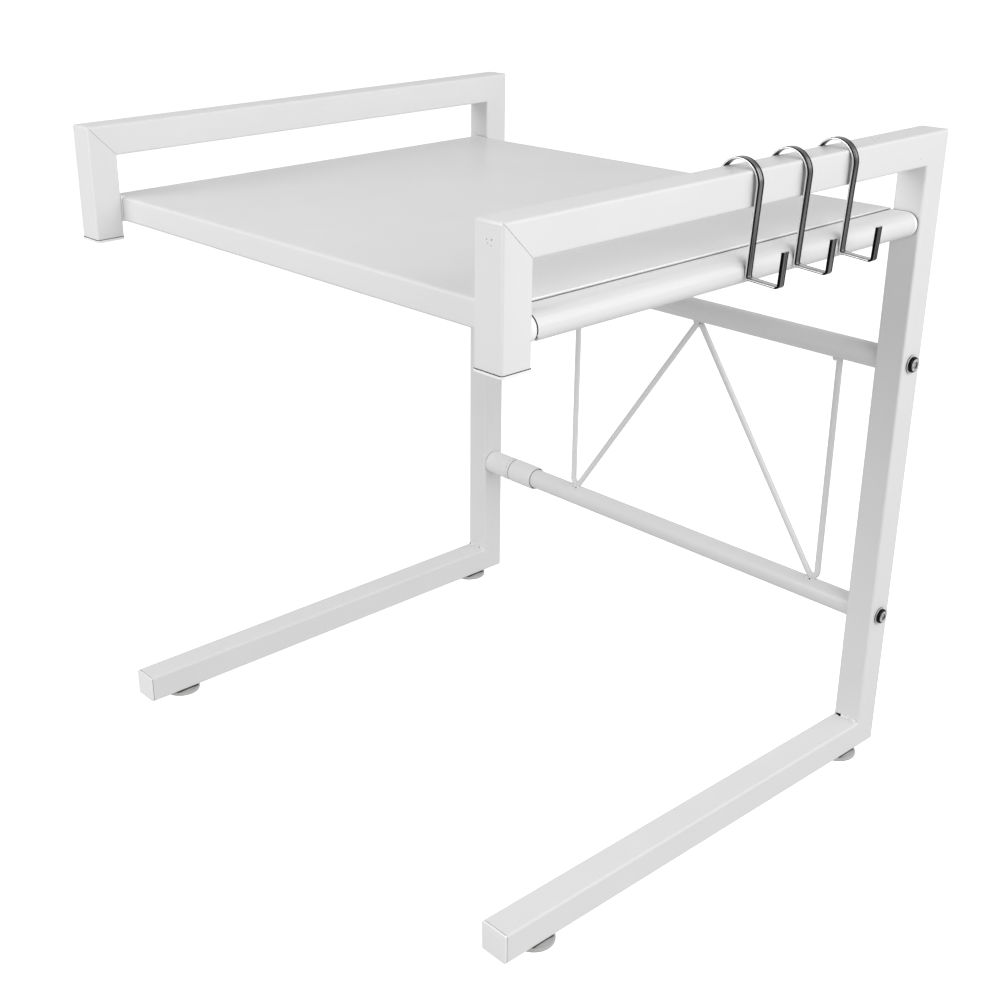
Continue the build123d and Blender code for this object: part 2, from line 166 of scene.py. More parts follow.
def makePowderCoat(name, look):
    material, tree, place = startMaterial(name)
    drift = addNoise(tree, place, look["patch"], detail=2.0)
    cells = addNode(tree, "ShaderNodeTexVoronoi", {"Scale": 1 / (look["nibSpacing"] * mm)}, {"Vector": place})
    nib = addNode(tree, "ShaderNodeMath", {1: look["nibSize"] / look["nibSpacing"]},
                  {0: cells.outputs["Distance"]}, operation="LESS_THAN")
    colour = addNode(tree, "ShaderNodeMix", {mixColourB: hexToLinear(look["nib"])},
                     {mixShare: nib.outputs[0], mixColourA: mixLook(tree, look, drift)}, data_type="RGBA")
    ripple = addRelief(tree, addNoise(tree, place, look["peel"], detail=1.0), look["peelHeight"])
    fixed = {"IOR": look["ior"], "Metallic": 0.0,
             "Coat Weight": look["coat"], "Coat Roughness": look["coatGloss"]}
    endMaterial(tree, fixed, colour.outputs[mixedColour], driftGloss(tree, look, drift), ripple)
    return material


# Moulded ABS or polyethylene: satin, with the fine spark grain of the mould
whiteAbs = {"light": "#EDEDED", "dull": "#E5E5E5", "patch": 18.0, "grain": 0.9, "grainHeight": 0.010,
            "gloss": 0.38, "glossDrift": 0.08, "ior": 1.54}
whitePolyethylene = {"light": "#FAFAFA", "dull": "#F3F3F3", "patch": 18.0, "grain": 0.9,
                     "grainHeight": 0.008, "gloss": 0.42, "glossDrift": 0.08, "ior": 1.51}
greyPolyethylene = {"light": "#C6C6C5", "dull": "#B4B4B3", "patch": 9.0, "grain": 0.8,
                    "grainHeight": 0.020, "gloss": 0.50, "glossDrift": 0.10, "ior": 1.51}

# Painted shade in the joints, gaps and pits: patchy dark greys, quite dull
jointShade = {"light": "#5E5E5E", "dull": "#2E2E2E", "patch": 2.5, "grain": 0.4, "grainHeight": 0.020,
             "gloss": 0.85, "glossDrift": 0.10, "ior": 1.5}


def makeMouldedPlastic(name, look):
    material, tree, place = startMaterial(name)
    drift = addNoise(tree, place, look["patch"], detail=3.0)
    grain = addNoise(tree, place, look["grain"], detail=2.0)
    endMaterial(tree, {"IOR": look["ior"], "Metallic": 0.0}, mixLook(tree, look, drift),
                driftGloss(tree, look, grain), addRelief(tree, grain, look["grainHeight"]))
    return material


# Nickel-chrome plate over drawn steel with fine lines along the strip, painted dark as a reflection
# of dark surroundings, with painted highlights on the tray and where an edge is rolled round
drawnChrome = {"light": "#A8A8AA", "dull": "#303032", "along": 40.0, "across": 0.80,
               "lineHeight": 0.005, "gloss": 0.20, "glossDrift": 0.08}
# Painted shade for the dark lanes along the strip
shadedChrome = {"light": "#141415", "dull": "#020202", "along": 25.0, "across": 0.60,
                "lineHeight": 0.005, "gloss": 0.30, "glossDrift": 0.08}
# Painted highlight for the hook's tray
trayHighlightChrome = {"light": "#F0F0F2", "dull": "#909094", "along": 25.0, "across": 0.60,
              "lineHeight": 0.005, "gloss": 0.30, "glossDrift": 0.08}
# Painted highlight for the rolled edges
edgeHighlightChrome = {"light": "#FFFFFF", "dull": "#E4E4E6", "along": 12.0, "across": 0.6,
              "lineHeight": 0.002, "gloss": 0.38, "glossDrift": 0.06}
# The bolt heads' plate, painted white as a highlight
boltChrome = {"light": "#FFFFFF", "dull": "#B4B4B6", "along": 1.8, "across": 1.8,
              "lineHeight": 0.004, "gloss": 0.36, "glossDrift": 0.10}
# The same plate on a bolt's flank and socket walls and a washer's edge, painted dark as shade
recessShadeChrome = {"light": "#303032", "dull": "#0A0A0B", "along": 1.2, "across": 1.2,
                "lineHeight": 0.004, "gloss": 0.25, "glossDrift": 0.08}
# Painted shade at the bottom of a weld's pinholes: nearly black, rough
pinholeShade = {"light": "#2A2725", "dull": "#0C0B0B", "along": 0.8, "across": 0.8,
              "lineHeight": 0.02, "gloss": 0.75, "glossDrift": 0.20}
# Bright zinc plate: grey with a soft crystalline mottle; on the washers matt, and painted nearly white as a
# highlight
zincPlate = {"light": "#B9BABC", "dull": "#8F9092", "along": 2.5, "across": 2.5,
             "lineHeight": 0.004, "gloss": 0.34, "glossDrift": 0.12}
washerHighlightZinc = {"light": "#FFFFFF", "dull": "#F0F0F0", "along": 1.5, "across": 1.5,
              "lineHeight": 0.003, "gloss": 0.60, "glossDrift": 0.08}
# The fine noise that draws the lines, and the part of its range that goes from light to dull
drawnLines = {"detail": 4.0, "roughness": 0.6, "lightest": 0.33, "dullest": 0.67}


def makePlatedSteel(name, look):
    material, tree, place = startMaterial(name)
    along, across = 1 / (look["along"] * mm), 1 / (look["across"] * mm)
    stretched = addNode(tree, "ShaderNodeMapping", {"Scale": (along, across, along)}, {"Vector": place})
    noise = addNode(tree, "ShaderNodeTexNoise",
                    {"Scale": 1.0, "Detail": drawnLines["detail"], "Roughness": drawnLines["roughness"]},
                    {"Vector": stretched.outputs[0]})
    lines = noise.outputs["Fac"]
    spread = addNode(tree, "ShaderNodeMapRange",
                     {"From Min": drawnLines["lightest"], "From Max": drawnLines["dullest"]},
                     {"Value": lines})
    endMaterial(tree, {"Metallic": 1.0}, mixLook(tree, look, spread.outputs[0]),
                driftGloss(tree, look, lines), addRelief(tree, lines, look["lineHeight"]))
    return material


coatedSteel = makePowderCoat("whitePowderCoatedSteel", powderCoat)
rimHighlightPaint = makePowderCoat("paintedHighlightCoatOnRim", {**powderCoat, **rimHighlightCoat})
mouldedAbs = makeMouldedPlastic("whiteMouldedAbs", whiteAbs)
mouldedPoly = makeMouldedPlastic("whiteMouldedPolyethylene", whitePolyethylene)
mouldedGrey = makeMouldedPlastic("greyMouldedPolyethylene", greyPolyethylene)
seamShade = makeMouldedPlastic("paintedShadeInSeams", jointShade)
stripChrome = makePlatedSteel("drawnChromeStripPaintedReflection", drawnChrome)
stripShadeLine = makePlatedSteel("paintedShadeChromeLines", shadedChrome)
rolledEdge = makePlatedSteel("paintedHighlightChromeEdge", edgeHighlightChrome)
trayHighlight = makePlatedSteel("paintedHighlightChromeTray", trayHighlightChrome)
headChrome = makePlatedSteel("chromePlatedBoltHead", boltChrome)
washerHighlight = makePlatedSteel("zincWasherPaintedHighlight", washerHighlightZinc)
recessShade = makePlatedSteel("paintedShadeSocketSteel", recessShadeChrome)
pinholeShadeSteel = makePlatedSteel("paintedShadeInPinholes", pinholeShade)
zincSteel = makePlatedSteel("brightZincPlatedSteel", zincPlate)

slotMaterials = {"white_steel": coatedSteel, "white_plastic": mouldedAbs, "grey_plastic": mouldedGrey,
                 "bright_steel": headChrome, "zinc_steel": zincSteel}
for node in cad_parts.values():
    node.data.materials[0] = slotMaterials[node.data.materials[0].name]
print("Materials made:", ", ".join(sorted(m.name for m in bpy.data.materials)))


def deselectAll():
    bpy.ops.object.select_all(action="DESELECT")


def selectOnly(piece):
    deselectAll()
    piece.select_set(True)
    bpy.context.view_layer.objects.active = piece


# Puts the selected pieces' place, turn and size in their meshes
def applyPlace():
    bpy.ops.object.transform_apply(location=True, rotation=True, scale=True)


def startEdit():
    bpy.ops.object.mode_set(mode="EDIT")


def endEdit():
    bpy.ops.object.mode_set(mode="OBJECT")


def pickAll():
    bpy.ops.mesh.select_all(action="SELECT")


# Selects the vertices, edges or faces of the piece being edited that pass a test
def pickParts(piece, kind, test):
    bpy.ops.mesh.select_mode(type=kind)
    bpy.ops.mesh.select_all(action="DESELECT")
    mesh = bmesh.from_edit_mesh(piece.data)
    parts = {"VERT": mesh.verts, "EDGE": mesh.edges, "FACE": mesh.faces}[kind]
    for part in parts:
        if test(part):
            part.select = True
    mesh.select_flush_mode()
    bmesh.update_edit_mesh(piece.data)


def mergePoints():
    pickAll()
    bpy.ops.mesh.remove_doubles(threshold=samePlace)


def faceOutward():
    pickAll()
    bpy.ops.mesh.normals_make_consistent(inside=False)


def drawOut(move):
    bpy.ops.mesh.extrude_region_move(TRANSFORM_OT_translate={"value": move})


def applyModifier(piece, kind, **options):
    bpy.context.view_layer.objects.active = piece
    modifier = piece.modifiers.new(kind.title(), kind)
    for option, value in options.items():
        setattr(modifier, option, value)
    bpy.ops.object.modifier_apply(modifier=modifier.name)


# Rounds the edges that turn by more than an angle
def roundEdges(piece, width, segments=2, angle=40):
    applyModifier(piece, "BEVEL", width=width * mm, segments=segments, limit_method="ANGLE",
                  angle_limit=radians(angle))


# Shades a piece smooth except over the edges that turn by more than an angle
def smoothRounds(piece, angle=35):
    selectOnly(piece)
    bpy.ops.object.shade_smooth_by_angle(angle=radians(angle))


def giveMaterials(piece, *materials):
    piece.data.materials.clear()
    for material in materials:
        piece.data.materials.append(material)


# Cuts one piece out of another; the cut faces may take a material of their own
def cutAway(piece, cutter, inside=None):
    if inside:
        giveMaterials(cutter, inside)
    applyModifier(piece, "BOOLEAN", object=cutter, operation="DIFFERENCE", solver="EXACT",
                  material_mode="TRANSFER" if inside else "INDEX")
    bpy.data.objects.remove(cutter)


# Puts the piece's place in its mesh, and hangs it on the body that carries it
def finishPiece(piece, name, body, slotName, *standsFor):
    selectOnly(piece)
    applyPlace()
    piece.name = piece.data.name = name
    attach(piece, body)
    if standsFor:
        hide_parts(*standsFor)


def copyPiece(piece):
    copy = piece.copy()
    copy.data = piece.data.copy()
    bpy.context.collection.objects.link(copy)
    return copy


def joinPieces(pieces):
    deselectAll()
    for piece in pieces:
        piece.select_set(True)
    bpy.context.view_layer.objects.active = pieces[0]
    applyPlace()
    bpy.ops.object.join()
    return bpy.context.object


# A cylinder along X or Y, its sizes and place in m
def addCylinder(sides, radius, length, place=(0, 0, 0), along="X"):
    deselectAll()
    turn = {"X": (0, pi / 2, 0), "Y": (pi / 2, 0, 0)}[along]
    bpy.ops.mesh.primitive_cylinder_add(vertices=sides, radius=radius, depth=length,
                                        location=place, rotation=turn)
    return bpy.context.object


# A rod along X in mm, to cut a bore or to lie in a corner
def makeRod(startX, length, radius, axisY, axisZ):
    middle = ((startX + length / 2) * mm, axisY * mm, axisZ * mm)
    return addCylinder(roundSides, radius * mm, length * mm, middle)


def makeBlock(low, high):
    deselectAll()
    bpy.ops.mesh.primitive_cube_add(size=1, location=[(a + b) / 2 * mm for a, b in zip(low, high)])
    block = bpy.context.object
    block.scale = [(b - a) * mm for a, b in zip(low, high)]
    applyPlace()
    return block


# A block whose upper far edge is drawn to its near side
def makeWedge(low, high):
    wedge = makeBlock(low, high)
    middleY, middleZ = (low[1] + high[1]) / 2 * mm, (low[2] + high[2]) / 2 * mm
    startEdit()
    pickParts(wedge, "VERT", lambda v: v.co.y > middleY and v.co.z > middleZ)
    bpy.ops.transform.translate(value=(0, (low[1] - high[1]) * mm, 0))
    mergePoints()
    endEdit()
    return wedge


# A copy of a CAD piece to work on, its seams closed
def copyNode(nodeName):
    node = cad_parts[nodeName]
    piece = bpy.data.objects.new(nodeName + "Shape", node.data.copy())
    bpy.context.collection.objects.link(piece)
    piece.matrix_world = node.matrix_world
    selectOnly(piece)
    applyPlace()
    startEdit()
    bpy.ops.mesh.customdata_custom_splitnormals_clear()
    mergePoints()
    endEdit()
    return piece


# Small pits sunk in a surface, each (x, y, z, radius) in mm, with their own material inside
def sinkPits(piece, pits, inside):
    for x, y, z, radius in pits:
        place = (x * mm, y * mm, z * mm)
        bpy.ops.mesh.primitive_ico_sphere_add(subdivisions=2, radius=radius * mm, location=place)
        cutAway(piece, bpy.context.object, inside)


# Hooks: flat strip with rolled edges, bent round the rail, down, out and up
hookStrip = {
    "width": 5.7, "thickness": 1.2, "rolledEdge": 0.55,
    "loopRadius": 13.0, "legDrop": 49.9, "trayReach": 34.3, "lipTop": -30.0, "backLeg": 5.0,
    "bendRadius": 1.7, "lean": 3.717,
    "railMiddle": 182.659, "loopHeight": 423.967,
    "cutEndRounding": 0.2, "loopSteps": 40, "bendSteps": 8,
    "broadEdge": 0.9,                    # an edge longer than this share of the flat width gets lanes
    "lanes": 5,                          # lengthwise lanes of the broad faces, the outer two painted dark as shade
    "edgeTurn": 0.2,                     # a face turned sideways further than this is a rolled edge
    "highlightTurn": 0.75, "trayTurn": 0.5,   # and gets a painted highlight from here, on the tray sooner
    "underTurn": -0.1,                   # unless it faces down there, then painted shade
    "endTurn": 0.7, "endRise": 3,        # the cut end faces up, this many bend radii above the tray, and gets a painted highlight
}
plainStrip, highlightEdge, shadeLane, trayHighlightLane = range(4)    # places of the hook's materials: painted dark reflection, highlight, shade, tray highlight


# The place of the material for one face of a hook that hasn't been leaned yet; the way the face turns
# picks among painted highlight, painted shade and painted dark reflection
def hookMaterial(look, face, flatWidth):
    loop, bend = look["loopRadius"] * mm, look["bendRadius"] * mm
    tray, lipX = -look["legDrop"] * mm, look["trayReach"] * mm
    lane = int((face.center.y / flatWidth + 0.5) * look["lanes"])
    outer, turned = lane in (0, look["lanes"] - 1), abs(face.normal.y)
    edge = turned > look["edgeTurn"]
    if face.center.x > lipX - bend:
        cutEnd = face.normal.z > look["endTurn"] and face.center.z > tray + look["endRise"] * bend
        return highlightEdge if cutEnd else shadeLane if outer or edge else plainStrip
    if face.center.x > loop + bend:
        if edge:
            return highlightEdge if turned > look["trayTurn"] and face.normal.z > look["underTurn"] else shadeLane
        return shadeLane if face.normal.z < 0 else plainStrip if outer else trayHighlightLane
    if turned > look["highlightTurn"]:
        return highlightEdge
    return shadeLane if outer or edge else plainStrip


def makeHook(look):
    loop, bend = look["loopRadius"] * mm, look["bendRadius"] * mm
    tray, lipX = -look["legDrop"] * mm, look["trayReach"] * mm
    start = -look["backLeg"] * mm
    flatWidth = (look["width"] - 2 * look["rolledEdge"]) * mm
    deselectAll()
    bpy.ops.mesh.primitive_plane_add(size=1, location=(-loop, 0, start))
    hook = bpy.context.object
    hook.scale = (look["thickness"] * mm, look["width"] * mm, 1)
    applyPlace()
    startEdit()
    pickAll()
    bpy.ops.mesh.bevel(offset=look["rolledEdge"] * mm, segments=4, affect="VERTICES")
    pickAll()
    bpy.ops.mesh.delete(type="ONLY_FACE")
    pickParts(hook, "EDGE", lambda e: e.calc_length() > look["broadEdge"] * flatWidth)
    bpy.ops.mesh.subdivide(number_cuts=look["lanes"] - 1)
    bpy.ops.mesh.select_mode(type="EDGE")
    pickAll()

    def turn(centre, angle, steps):
        bpy.ops.mesh.spin(steps=steps, angle=angle, center=centre, axis=(0, 1, 0))

    drawOut((0, 0, -start))
    turn((0, 0, 0), -pi, look["loopSteps"])
    drawOut((0, 0, tray + bend))
    turn((loop + bend, 0, tray + bend), pi / 2, look["bendSteps"])
    drawOut((lipX - loop - 2 * bend, 0, 0))
    turn((lipX - bend, 0, tray + bend), pi / 2, look["bendSteps"])
    drawOut((0, 0, look["lipTop"] * mm - tray - bend))
    bpy.ops.mesh.edge_face_add()
    pickParts(hook, "EDGE", lambda e: all(v.co.x < 0 and abs(v.co.z - start) < samePlace for v in e.verts))
    bpy.ops.mesh.edge_face_add()
    mergePoints()
    faceOutward()
    # only the two cut ends have more than four corners
    pickParts(hook, "FACE", lambda f: len(f.verts) > 4)
    bpy.ops.mesh.bevel(offset=look["cutEndRounding"] * mm, segments=2, affect="EDGES")
    endEdit()
    giveMaterials(hook, stripChrome, rolledEdge, stripShadeLine, trayHighlight)
    for face in hook.data.polygons:
        face.material_index = hookMaterial(look, face, flatWidth)
    smoothRounds(hook, 40)
    hook.rotation_euler = (0, radians(look["lean"]), 0)
    return hook


patternHook = makeHook(hookStrip)
for place in ("front", "middle", "rear"):
    low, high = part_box(place + "_hook")
    hook = patternHook if place == "rear" else copyPiece(patternHook)
    hook.location = (hookStrip["railMiddle"] * mm, (low[1] + high[1]) / 2, hookStrip["loopHeight"] * mm)
    finishPiece(hook, place + "HookStrip", place + "_hook", "bright_steel", place + "_hook")
print("Hooks bent")

# Twist locks: a smooth collar, a grip with low ribs, and the wider round lip that meets the sleeve
lockNut = {
    "start": -191.84, "length": 27.0, "radius": 10.0,    # along X from the left upright
    "collarLength": 11.5, "collarRadius": 9.55, "lipLength": 3.2,
    "ribs": 12, "ribHeight": 0.35, "sides": 96, "ribFacets": 3,
    "bore": 6.9, "neckBore": 8.78, "neckDepth": 9.4, "edge": 0.12, "edgeAngle": 30,
    "axisY": 175.0, "heights": {"lower": 105.8, "upper": 285.8},
}


def makeLockNut(look):
    length = look["length"]
    nut = addCylinder(look["sides"], look["collarRadius"] * mm, length * mm)
    applyPlace()
    left, right = -length / 2 * mm, length / 2 * mm
    gripStart = left + look["collarLength"] * mm
    lipStart = right - look["lipLength"] * mm
    startEdit()
    for cut in (gripStart, lipStart):
        pickAll()
        bpy.ops.mesh.bisect(plane_co=(cut, 0, 0), plane_no=(1, 0, 0))
    # the grip's ribs: every few facets between the collar and the lip stand out
    pitch = look["sides"] // look["ribs"]

    def onRib(face):
        middle = face.calc_center_median()
        if abs(face.normal.x) > sideOn or not gripStart < middle.x < lipStart:
            return False
        turn = Vector((0, 1)).angle_signed(Vector((middle.y, middle.z))) % (2 * pi)
        return int(turn / (2 * pi) * look["sides"]) % pitch < look["ribFacets"]

    pickParts(nut, "FACE", onRib)
    bpy.ops.mesh.extrude_region_shrink_fatten(TRANSFORM_OT_shrink_fatten={"value": -look["ribHeight"] * mm})
    lip = (look["radius"] - look["collarRadius"]) * mm
    pickParts(nut, "FACE", lambda f: abs(f.normal.x) < sideOn and f.calc_center_median().x > lipStart)
    bpy.ops.mesh.extrude_region_shrink_fatten(TRANSFORM_OT_shrink_fatten={"value": -lip})
    faceOutward()
    endEdit()
    cutAway(nut, makeRod(-length, 2 * length, look["bore"], 0, 0))
    cutAway(nut, makeRod(length / 2 - look["neckDepth"], length, look["neckBore"], 0, 0))
    roundEdges(nut, look["edge"], angle=look["edgeAngle"])
    giveMaterials(nut, mouldedAbs)
    return nut


patternNut = makeLockNut(lockNut)
for level, height in lockNut["heights"].items():
    nut = patternNut if level == "upper" else copyPiece(patternNut)
    nut.location = ((lockNut["start"] + lockNut["length"] / 2) * mm, lockNut["axisY"] * mm, height * mm)
    finishPiece(nut, level + "RibbedLockNut", level + "_lock", "white_plastic", level + "_lock_nut")
print("Lock nuts ribbed")

# Button-head bolts: rounded head over a bright washer, a shallow hexagon socket with a bright floor;
# the bright faces are painted highlight, the flank and the socket's walls painted shade
tubeBolt = {
    "headRadius": 5.2, "headHeight": 2.4, "crown": 1.9, "crownSegments": 8, "highlightAbove": 0.93,
    "socket": 4.0, "socketDepth": 0.7, "headEdge": 0.10, "shankRadius": 2.9, "shankLength": 34.0,
    "washer": 0.8, "washerRadius": 6.2, "washerEdge": 0.2, "bore": 3.1,
    "faces": {"left": -212.341, "right": 192.659},
}


def makeBolt(look):
    # modelled along +X: the washer's seat is at x = 0 and the head's top faces +X
    seat, top = look["washer"] * mm, (look["washer"] + look["headHeight"]) * mm
    head = addCylinder(roundSides, look["headRadius"] * mm, top - seat, ((seat + top) / 2, 0, 0))
    applyPlace()
    startEdit()
    pickParts(head, "EDGE", lambda e: all(v.co.x > top - samePlace for v in e.verts))
    bpy.ops.mesh.bevel(offset=look["crown"] * mm, segments=look["crownSegments"], affect="EDGES", profile=0.5)
    pickParts(head, "FACE", lambda f: f.normal.x < -facing)
    bpy.ops.mesh.inset(thickness=(look["headRadius"] - look["shankRadius"]) * mm)
    drawOut((-look["shankLength"] * mm, 0, 0))
    endEdit()
    cornerRadius = look["socket"] / 3 ** 0.5 * mm    # of a hexagon, from its width over the flats
    cutAway(head, addCylinder(6, cornerRadius, look["socketDepth"] * 2 * mm, (top, 0, 0)))
    giveMaterials(head, headChrome, recessShade)
    # painted shade on the flank and the socket's walls, painted highlight on the top of the crown and the
    # socket's floor
    for face in head.data.polygons:
        face.material_index = 1 if face.center.x > seat and face.normal.x < look["highlightAbove"] else 0
    roundEdges(head, look["headEdge"])
    return head


def makeWasher(look):
    thick = look["washer"]
    washer = addCylinder(roundSides, look["washerRadius"] * mm, thick * mm, (thick / 2 * mm, 0, 0))
    applyPlace()
    cutAway(washer, makeRod(-thick, 3 * thick, look["bore"], 0, 0))
    roundEdges(washer, look["washerEdge"], segments=3)
    giveMaterials(washer, washerHighlight, recessShade)
    # the washer's edge takes the dark plate as painted shade
    for face in washer.data.polygons:
        face.material_index = 1 if abs(face.normal.x) < sideOn else 0
    return washer


patternBolt, patternWasher = makeBolt(tubeBolt), makeWasher(tubeBolt)
for side, faceX in tubeBolt["faces"].items():
    for pattern, nodeName, name in ((patternBolt, "_tube_bolts", "CrossTubeBolts"),
                                    (patternWasher, "_tube_washers", "BoltWashers")):
        pair = []
        for height in lockNut["heights"].values():
            piece = copyPiece(pattern)
            piece.location = (faceX * mm, lockNut["axisY"] * mm, height * mm)
            piece.rotation_euler = (0, 0, pi if side == "left" else 0)
            pair.append(piece)
        finishPiece(joinPieces(pair), side + name, side + "_frame", "bright_steel", side + nodeName)
for pattern in (patternBolt, patternWasher):
    bpy.data.objects.remove(pattern)
print("Bolts and washers turned")

# Front mitres: the outer corner is ground round and its seam filled, so the dark seam shows
# on the side faces only
squareTube = {"side": 20.0, "middles": {"left": -202.341, "right": 182.659}}
mitreCorner = {
    "rounding": 1.6, "faceY": -185.0, "topZ": 431.8, "spare": 1.0,
    "weldProud": 0.03, "weldShort": 0.9, "weldEdge": 0.35,
}
# Pinholes in the paint, as the photograph shows them, with painted shade inside
paintPits = {
    "right_front_post": [(181.6, -185.0, 422.7, 0.28), (185.0, -185.0, 422.9, 0.38),
                         (182.3, -185.0, 421.0, 0.24), (184.4, -185.0, 420.1, 0.26)],
    "right_top_rail": [(184.0, 119.8, 431.8, 0.50), (180.0, 123.0, 431.8, 0.45),
                       (182.0, 126.4, 431.8, 0.52)],
}


def roundMitre(look, side, middle):
    half, radius, spare = squareTube["side"] / 2, look["rounding"], look["spare"]
    axisY, axisZ = look["faceY"] + radius, look["topZ"] - radius
    for part, name in (("_front_post", "FrontPostTube"), ("_top_rail", "TopRailTube")):
        tube = copyNode(side + part)
        corner = makeBlock((middle - half - spare, look["faceY"] - spare, axisZ),
                           (middle + half + spare, axisY, look["topZ"] + spare))
        cutAway(corner, makeRod(middle - half - 2 * spare, 2 * half + 4 * spare, radius, axisY, axisZ))
        cutAway(tube, corner)
        giveMaterials(tube, coatedSteel)
        sinkPits(tube, paintPits.get(side + part, ()), seamShade)
        smoothRounds(tube)
        finishPiece(tube, side + name, side + "_frame", "white_steel", side + part)
    start, length = middle - half + look["weldShort"], 2 * (half - look["weldShort"])
    weld = makeRod(start, length, radius + look["weldProud"], axisY, axisZ)
    roundEdges(weld, look["weldEdge"], segments=3)
    giveMaterials(weld, coatedSteel)
    smoothRounds(weld)
    finishPiece(weld, side + "GroundMitreWeld", side + "_frame", "white_steel")


for side, middle in squareTube["middles"].items():
    roundMitre(mitreCorner, side, middle)
print("Front mitres rounded")

# Weld beads: overlapping drops run together under the paint, with pinholes painted black as shade
weldBead = {
    "pitch": 1.45, "radius": 2.1, "across": 7.0, "cornerY": 165.0, "cornerZ": 23.8, "inCorner": 0.25,
    "voxel": 0.2, "smoothing": 0.5, "sizeDrift": 0.16, "placeDrift": 0.30, "shadeAngle": 50,
    "seeds": {"left": 11, "right": 12, "brace": 27},
    "pits": {
        "left": [(-208.9, 163.4, 25.2, 0.55), (-197.8, 163.3, 25.3, 0.60), (-203.4, 163.2, 25.0, 0.35)],
        "right": [(173.8, 163.1, 25.3, 0.60), (174.9, 163.0, 25.3, 0.70), (176.1, 163.0, 25.3, 0.80),
                  (177.3, 162.9, 25.3, 0.90), (178.5, 162.9, 25.2, 1.05), (186.4, 162.8, 25.2, 0.45)],
    },
}
# Drops where the brace touches the cross tubes, and their pinholes, each (x, y, z, radius)
braceWelds = {
    "leftFoot": [(-92.3, 172.9, 114.0, 1.9), (-94.3, 173.1, 113.7, 1.5), (-90.2, 173.0, 113.7, 1.6)],
    "rightFoot": [(136.7, 172.9, 114.0, 1.8), (134.4, 173.0, 113.8, 1.8), (138.8, 173.3, 113.8, 1.3)],
    "crown": [(22.2, 173.1, 277.5, 1.9), (20.0, 173.2, 277.7, 1.6), (24.3, 173.3, 277.7, 1.4)],
    "leftHead": [(-98.6, 173.3, 277.6, 1.7), (-96.6, 172.9, 278.2, 1.6), (-94.2, 173.6, 277.8, 1.3)],
    "rightHead": [(138.4, 173.3, 277.6, 1.7), (140.4, 172.9, 278.2, 1.6), (142.8, 173.6, 277.8, 1.3)],
}
bracePits = [(-90.4, 171.4, 113.9, 0.75), (137.2, 171.2, 114.6, 0.65), (138.3, 171.6, 114.7, 0.55),
             (24.7, 171.9, 277.0, 0.75), (-93.6, 172.4, 277.2, 0.50), (143.4, 172.4, 277.2, 0.55)]


def makeBead(look, spots, seed):
    wobble = Random(seed)
    size, shift = look["sizeDrift"], look["placeDrift"]
    drops = []
    for x, y, z, radius in spots:
        place = [(c + wobble.uniform(-shift, shift)) * mm for c in (x, y, z)]
        dropRadius = radius * wobble.uniform(1 - size, 1 + size / 2) * mm
        bpy.ops.mesh.primitive_ico_sphere_add(subdivisions=3, radius=dropRadius, location=place)
        drops.append(bpy.context.object)
    bead = joinPieces(drops)
    applyModifier(bead, "REMESH", mode="VOXEL", voxel_size=look["voxel"] * mm)
    applyModifier(bead, "SMOOTH", factor=look["smoothing"], iterations=1)
    giveMaterials(bead, coatedSteel)
    return bead


def cornerSpots(look, middle):
    steps = int(2 * look["across"] / look["pitch"]) + 1
    alongY, upZ = look["cornerY"] - look["inCorner"], look["cornerZ"] + look["inCorner"]
    alongX = [middle - look["across"] + step * look["pitch"] for step in range(steps)]
    return [(x, alongY, upZ, look["radius"]) for x in alongX]


for side, middle in squareTube["middles"].items():
    bead = makeBead(weldBead, cornerSpots(weldBead, middle), weldBead["seeds"][side])
    sinkPits(bead, weldBead["pits"][side], pinholeShadeSteel)
    smoothRounds(bead, weldBead["shadeAngle"])
    finishPiece(bead, side + "CornerWeldBead", side + "_frame", "white_steel", side + "_corner_weld")
nuggets = joinPieces([makeBead(weldBead, spots, weldBead["seeds"]["brace"] + at)
                      for at, spots in enumerate(braceWelds.values())])
sinkPits(nuggets, bracePits, pinholeShadeSteel)
smoothRounds(nuggets, weldBead["shadeAngle"])
finishPiece(nuggets, "braceWeldNuggets", "right_frame", "white_steel")
print("Welds laid")

# Threaded studs of the feet, drawn from one tooth wound up the stud and cut off at both ends
footStud = {
    "crest": 2.97, "root": 2.45, "pitch": 1.0, "crestFlat": 0.12, "steps": 32, "spareTurns": 3,
    "low": 1.2, "high": 18.3, "alongY": {"front": -145.0, "rear": 156.0},
}


def makeStud(look):
    crest, root, pitch = look["crest"] * mm, look["root"] * mm, look["pitch"] * mm
    turns = int((look["high"] - look["low"]) / look["pitch"]) + look["spareTurns"]
    deselectAll()
    bpy.ops.mesh.primitive_plane_add(size=pitch, location=(root, 0, look["low"] * mm - pitch))
    stud = bpy.context.object
    applyPlace()
    startEdit()
    # one corner of the plane is kept as the tooth's first point, moved to the stud's root
    pickParts(stud, "VERT", lambda v: v.co.x > root or v.co.y > 0)
    bpy.ops.mesh.delete(type="VERT")
    pickAll()
    bpy.ops.transform.translate(value=(pitch / 2, pitch / 2, 0))
    flank = (pitch - look["crestFlat"] * mm) / 2
    for move in ((crest - root, 0, flank), (0, 0, pitch - 2 * flank), (root - crest, 0, flank)):
        drawOut(move)
    endEdit()
    applyModifier(stud, "SCREW", axis="Z", screw_offset=pitch, iterations=turns, steps=look["steps"],
                  render_steps=look["steps"], use_smooth_shade=False)
    startEdit()
    mergePoints()
    pickAll()
    bpy.ops.mesh.bisect(plane_co=(0, 0, look["high"] * mm), plane_no=(0, 0, 1), use_fill=True,
                        clear_outer=True)
    pickAll()
    bpy.ops.mesh.bisect(plane_co=(0, 0, look["low"] * mm), plane_no=(0, 0, 1), use_fill=True,
                        clear_inner=True)
    faceOutward()
    endEdit()
    giveMaterials(stud, zincSteel)
    smoothRounds(stud, 40)
    return stud


